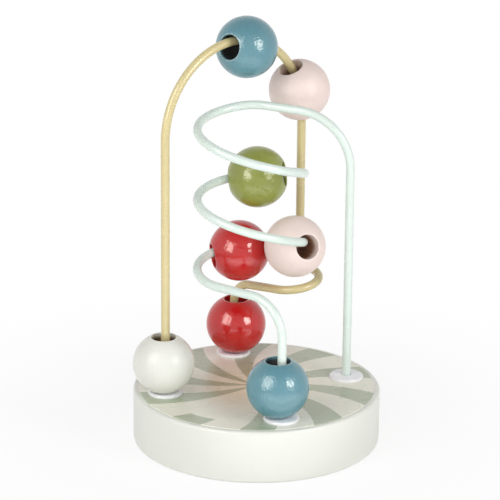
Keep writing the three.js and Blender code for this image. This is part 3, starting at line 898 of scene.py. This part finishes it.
def coating_finish(name, plastic):
    """Dipped plastic coating: an uneven skin with slow changes of shade along the wire."""
    sheet = Finish(name)
    cloud = sheet.noise(14.0 * MM)
    ripple = sheet.noise(6.0 * MM, detail=1.0)
    speck = sheet.noise(0.9 * MM, detail=1.0)
    body = sheet.fleck(plastic, tinted(plastic, 0.94), cloud, part=0.6)
    return sheet.shade(
        Base_Color=sheet.fleck(body, tinted(plastic, 0.97), speck, part=0.3, low=0.55, high=0.8),
        Roughness=sheet.wander(ripple, 0.2, 0.28),
        IOR=1.5,
        Normal=sheet.skin((ripple, 0.04 * MM), (speck, 0.0004 * MM)),
    )


def steel_finish(name, steel):
    """Drawn steel wire with fine scratches."""
    sheet = Finish(name)
    scratch = sheet.noise(0.2 * MM, scale=(1.0, 1.0, 0.05))
    cloud = sheet.noise(3.0 * MM)
    return sheet.shade(
        Base_Color=sheet.fleck(steel, tinted(steel, 0.8), cloud),
        Metallic=1.0,
        Roughness=sheet.wander(scratch, 0.25, 0.45),
        Normal=sheet.skin((scratch, 0.004 * MM)),
    )


def floor_finish(name, stage):
    """A sweep of paper that looks white with a soft shadow, and throws the light that plain paper does."""
    sheet = Finish(name)
    mottle = sheet.noise(300.0 * MM)
    paper = sheet.fleck(stage.floor, tinted(stage.floor, 0.985), mottle)
    matt = sheet.add("ShaderNodeBsdfDiffuse", {"Color": paper, "Roughness": 0.5}).outputs[0]
    glow = sheet.add("ShaderNodeEmission", {"Color": WHITE, "Strength": 1.0}).outputs[0]
    white = sheet.ramp(sheet.reach(), stage.shadow_core, stage.shadow_reach, stage.floor_glow, 1.0)
    part = sheet.times(sheet.seen(), white)
    surface = sheet.add("ShaderNodeMixShader", {0: part, 1: matt, 2: glow}).outputs[0]
    sheet.tree.nodes.remove(sheet.shader)
    sheet.tree.links.new(surface, sheet.tree.nodes["Material Output"].inputs["Surface"])
    return sheet.material


# Pieces


class TRACK_OT_base(Operator):
    """Add the painted round base, with sockets for the collars"""

    bl_idname = "bead_track.add_base"
    bl_label = "Painted Base"
    bl_options = {"REGISTER", "UNDO"}

    def execute(self, context):
        track = context.scene.bead_track
        base, collars, wires, posts = track.base, track.collars, track.wires, Posts(track)
        radius, edge = base.diameter / 2, base.edge_radius
        profile = [
            (0.0, 0.0),
            *arc((radius - edge, edge), edge, -90, 0, EDGE_STEPS),
            *arc((radius - edge, base.thickness - edge), edge, 0, 90, EDGE_STEPS),
            (0.0, base.thickness),
        ]
        piece = new_piece("painted_base", *lathe(profile, BASE_SEGMENTS))
        core_hole, spigot_hole = wires.hole_diameter / 2, collars.spigot_diameter / 2 + collars.clearance
        hole_floor = posts.spigot_end - collars.clearance
        drill_top = base.thickness + DRILL_OVERSHOOT
        socket = [
            (0.0, base.socket_floor),
            (core_hole, base.socket_floor),
            (core_hole, hole_floor),
            (spigot_hole, hole_floor),
            (spigot_hole, drill_top),
            (0.0, drill_top),
        ]
        drill(piece, socket, posts.all())
        keep_flats(piece)
        settle(piece, "base_disc", base_finish("base_paint", track.finishes.base_paint, base))
        return {"FINISHED"}


class TRACK_OT_print(Operator):
    """Add the film with printed rays on the base"""

    bl_idname = "bead_track.add_print"
    bl_label = "Ray Print"
    bl_options = {"REGISTER", "UNDO"}

    def execute(self, context):
        track = context.scene.bead_track
        base, collars, posts = track.base, track.collars, Posts(track)
        radius, top = base.diameter / 2 - base.print_margin, posts.deck
        edge = base.print_thickness / 2
        profile = [
            (0.0, base.thickness),
            (radius, base.thickness),
            *arc((radius - edge, top - edge), edge, 0, 90, EDGE_STEPS // 2),
            (0.0, top),
        ]
        piece = new_piece("ray_print_film", *lathe(profile, BASE_SEGMENTS))
        hole = collars.spigot_diameter / 2 + collars.clearance
        low, high = base.thickness - DRILL_OVERSHOOT, top + DRILL_OVERSHOOT
        drill(piece, [(0.0, low), (hole, low), (hole, high), (0.0, high)], posts.all())
        keep_flats(piece)
        settle(piece, "top_print", print_finish("printed_film", track.rays))
        return {"FINISHED"}


class TRACK_OT_collars(Operator):
    """Add the four plastic collars that seat the wire ends"""

    bl_idname = "bead_track.add_collars"
    bl_label = "Collars"
    bl_options = {"REGISTER", "UNDO"}

    def execute(self, context):
        track = context.scene.bead_track
        collars, wires, posts = track.collars, track.wires, Posts(track)
        flange, edge, top = collars.flange_diameter / 2, collars.edge_radius, collars.flange_height
        core_hole = wires.hole_diameter / 2
        coating_hole = wires.coating_diameter / 2 + collars.clearance
        spigot, deep = collars.spigot_diameter / 2, -collars.spigot_length
        ledge = deep + collars.ledge_height
        rim, lip = top - collars.dome, collars.lip_radius
        crown = [
            (radius, top - collars.dome * ((radius - coating_hole) / (flange - coating_hole)) ** 2)
            for radius in np.linspace(flange - edge, coating_hole + lip, EDGE_STEPS)
        ]
        profile = [
            (core_hole, deep),
            (spigot - collars.spigot_chamfer, deep),
            (spigot, deep + collars.spigot_chamfer),
            (spigot, 0.0),
            (flange - collars.seat_chamfer, 0.0),
            (flange, collars.seat_chamfer),
            *arc((flange - edge, rim - edge), edge, 0, math.degrees(collars.edge_turn), EDGE_STEPS),
            *crown[1:],
            *arc((coating_hole + lip, top - lip), lip, 90, 180, EDGE_STEPS // 2),
            (coating_hole, ledge),
            (core_hole, ledge),
        ]
        material = collar_finish("collar_plastic", track.finishes.collar_plastic, collars)
        for (where, _), post in zip(COLLARS, posts.all()):
            piece = new_piece(f"{where}_collar", *lathe(profile, COLLAR_SEGMENTS))
            piece.location = post + UP * posts.deck
            keep_flats(piece)
            settle(piece, f"collar_{where}", material)
        return {"FINISHED"}


class TRACK_OT_wires(Operator):
    """Add the mint and the yellow coated wire, and finish the steel inside them"""

    bl_idname = "bead_track.add_wires"
    bl_label = "Coated Wires"
    bl_options = {"REGISTER", "UNDO"}

    def execute(self, context):
        track = context.scene.bead_track
        wires, finishes, posts = track.wires, track.finishes, Posts(track)
        steel = steel_finish("wire_steel", finishes.steel)
        for tint, route in (("mint", mint_route), ("yellow", yellow_route)):
            tube = swept_coating(route(wires, posts), wires.coating_diameter / 2, wires.hole_diameter / 2)
            piece = new_piece(f"{tint}_coated_wire", *tube)
            material = coating_finish(f"{tint}_coating", getattr(finishes, f"{tint}_coating"))
            settle(piece, f"{tint}_wire_sleeve", material)
            core = frame["nodes"][f"{tint}_wire_core"]
            core.data.materials.clear()
            core.data.materials.append(steel)
        return {"FINISHED"}


def bore_of(node):
    """Middle of a bead's solid and the direction of its hole, the odd one of the solid's main axes."""
    points = np.array([vertex.co for vertex in frame["nodes"][node].data.vertices], float)
    low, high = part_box(node)
    spreads, axes = np.linalg.eigh(np.cov(points.T))
    odd = 0 if spreads[1] - spreads[0] > spreads[2] - spreads[1] else 2
    return (low + high) / 2, Vector(axes[:, odd])


class TRACK_OT_beads(Operator):
    """Add the eight turned and lacquered beads"""

    bl_idname = "bead_track.add_beads"
    bl_label = "Lacquered Beads"
    bl_options = {"REGISTER", "UNDO"}

    def execute(self, context):
        track = context.scene.bead_track
        beads = track.beads
        ball, bore, rim = beads.diameter / 2, beads.bore_diameter / 2, beads.rim_radius
        rim_height = math.sqrt((ball - rim) ** 2 - (bore + rim) ** 2)
        rim_angle = math.degrees(math.atan2(rim_height, bore + rim))
        profile = [
            *arc((bore + rim, -rim_height), rim, -180, -rim_angle, RIM_STEPS),
            *arc((0.0, 0.0), ball, -rim_angle, rim_angle, BEAD_ARC_STEPS)[1:-1],
            *arc((bore + rim, rim_height), rim, rim_angle, 180, RIM_STEPS),
        ]
        materials = {}
        for tint, where in BEADS:
            node = f"bead_{tint}_{where}"
            if tint not in materials:
                materials[tint] = lacquer_finish(f"{tint}_lacquer", getattr(track, tint), beads)
            piece = new_piece(f"{tint}_bead_{where}", *lathe(profile, BEAD_SEGMENTS))
            middle, hole = bore_of(node)
            tilt = hole.to_track_quat("Z", "Y").to_matrix().to_4x4()
            piece.matrix_world = Matrix.Translation(middle) @ tilt
            settle(piece, node, materials[tint])
        return {"FINISHED"}


# Stage


def add_floor(stage):
    """The square paper floor under the base."""
    half = stage.floor_width / 2
    corners = [(-half, -half, 0.0), (half, -half, 0.0), (half, half, 0.0), (-half, half, 0.0)]
    floor = new_piece("paper_floor", corners, [(0, 1, 2, 3)])
    floor.data.materials.append(floor_finish("paper_floor", stage))


def stand(thing, middle, back, roll=0.0):
    """Puts a lamp or the camera at a place with its back turned to a direction."""
    thing.location = middle
    thing.rotation_mode = "QUATERNION"
    thing.rotation_quaternion = back.to_track_quat("Z", "Y") @ Quaternion((0.0, 0.0, 1.0), roll)


def add_lamp(name, middle, back, size, power, shine=None):
    """A flat lamp with its back turned to a direction. One with a shine colour shows only in gloss."""
    lamp = bpy.data.lights.new(name, "AREA")
    lamp.shape = "RECTANGLE"
    lamp.size, lamp.size_y = size
    lamp.energy = power
    holder = new_object(name, lamp)
    stand(holder, middle, back)
    if shine is not None:
        lamp.color = shine[:3]
        holder.visible_diffuse = False


def add_lamps(stage):
    """A softbox on each side with a shine lamp behind it, and two cards that lie on the floor in front."""
    target, tint, below = Vector(stage.target), stage.shine_tint, Vector(DOWN)
    right, left = Vector(stage.right_side).normalized(), Vector(stage.left_side).normalized()
    near, far = stage.lamp_distance, stage.lamp_distance + stage.shine_gap
    add_lamp("right_softbox", target + right * near, right, stage.right_size, stage.right_watts)
    add_lamp("right_shine", target + right * far, right, stage.right_size, stage.right_shine, tint)
    add_lamp("front_card", stage.card_place, below, stage.card_size, stage.card_watts)
    add_lamp("near_card", stage.near_place, below, stage.near_size, stage.near_shine, tint)
    add_lamp("left_softbox", target + left * near, left, stage.left_size, stage.left_watts)
    add_lamp("left_shine", target + left * far, left, stage.left_size, stage.left_shine, tint)


def white_room(stage):
    """Surroundings that look white up to the wall's top, and throw less light than that."""
    discard(bpy.data.worlds, "white_room")
    world = bpy.data.worlds.new("white_room")
    world.use_nodes = True
    sheet = Sheet(world.node_tree)
    outwards = sheet.add("ShaderNodeTexCoord").outputs["Generated"]
    height = sheet.parts(outwards)[2]
    facing = {0: outwards, 1: Vector(stage.fill_side).normalized()}
    side = sheet.add("ShaderNodeVectorMath", facing, operation="DOT_PRODUCT").outputs["Value"]
    room = sheet.ramp(height, 0.0, 1.0, stage.fill, stage.ceiling, smooth=False)
    room = sheet.times(room, sheet.math("MULTIPLY_ADD", side, stage.fill_lean, 1.0))
    walls = sheet.ramp(height, stage.wall_top, 1.0, 1.0, stage.ceiling, smooth=False)
    level = sheet.ramp(sheet.seen(), 0.0, 1.0, room, walls, smooth=False)
    sheet.put(sheet.tree.nodes["Background"], {"Color": WHITE, "Strength": level})
    return world


def photo_camera(stage):
    """The camera, which looks at the target from its azimuth and elevation."""
    level = math.cos(stage.elevation)
    back = Vector(
        (level * math.sin(stage.azimuth), -level * math.cos(stage.azimuth), math.sin(stage.elevation))
    )
    view = bpy.data.cameras.new("photo_camera")
    view.lens = stage.lens
    view.sensor_width = FILM_WIDTH
    view.clip_start, view.clip_end = NEAREST, FARTHEST
    camera = new_object("photo_camera", view)
    stand(camera, Vector(stage.target) + back * stage.distance, back, stage.roll)
    return camera


class TRACK_OT_stage(Operator):
    """Add the floor, the soft lamps, the white surroundings and the camera"""

    bl_idname = "bead_track.add_stage"
    bl_label = "Photo Stage"
    bl_options = {"REGISTER", "UNDO"}

    def execute(self, context):
        scene = context.scene
        stage = scene.bead_track.stage
        scene.view_settings.view_transform = "Standard"
        add_floor(stage)
        add_lamps(stage)
        scene.world = white_room(stage)
        scene.camera = photo_camera(stage)
        return {"FINISHED"}


# Add-on

OPERATORS = (
    TRACK_OT_base,
    TRACK_OT_print,
    TRACK_OT_collars,
    TRACK_OT_wires,
    TRACK_OT_beads,
    TRACK_OT_stage,
)


class TRACK_PT_sidebar(Panel):
    """Lists the pieces that can be added and the settings that they use"""

    bl_idname = "TRACK_PT_sidebar"
    bl_label = "Bead Track"
    bl_space_type = "VIEW_3D"
    bl_region_type = "UI"
    bl_category = "Bead Track"

    def draw(self, context):
        track = context.scene.bead_track
        for operator in OPERATORS:
            self.layout.operator(operator.bl_idname)
        for section in TrackSettings.__annotations__:
            box = self.layout.box()
            box.label(text=TrackSettings.bl_rna.properties[section].name)
            settings = getattr(track, section)
            for name in settings.__annotations__:
                box.prop(settings, name)


CLASSES = (
    BaseSizes,
    CollarSizes,
    WireSizes,
    BeadSizes,
    PrintLook,
    Finishes,
    WhiteLacquer,
    RedLacquer,
    BlueLacquer,
    PinkLacquer,
    GreenLacquer,
    StageSettings,
    TrackSettings,
    *OPERATORS,
    TRACK_PT_sidebar,
)


def register():
    """Makes the settings, the operators and the panel known to Blender."""
    for cls in CLASSES:
        bpy.utils.register_class(cls)
    bpy.types.Scene.bead_track = PointerProperty(type=TrackSettings)


def unregister():
    """Takes them all away again."""
    del bpy.types.Scene.bead_track
    for cls in reversed(CLASSES):
        bpy.utils.unregister_class(cls)


def main():
    """Adds every piece and the stage."""
    register()
    bpy.ops.bead_track.add_base()
    bpy.ops.bead_track.add_print()
    bpy.ops.bead_track.add_collars()
    bpy.ops.bead_track.add_wires()
    bpy.ops.bead_track.add_beads()
    bpy.ops.bead_track.add_stage()


if __name__ == "__main__":
    main()
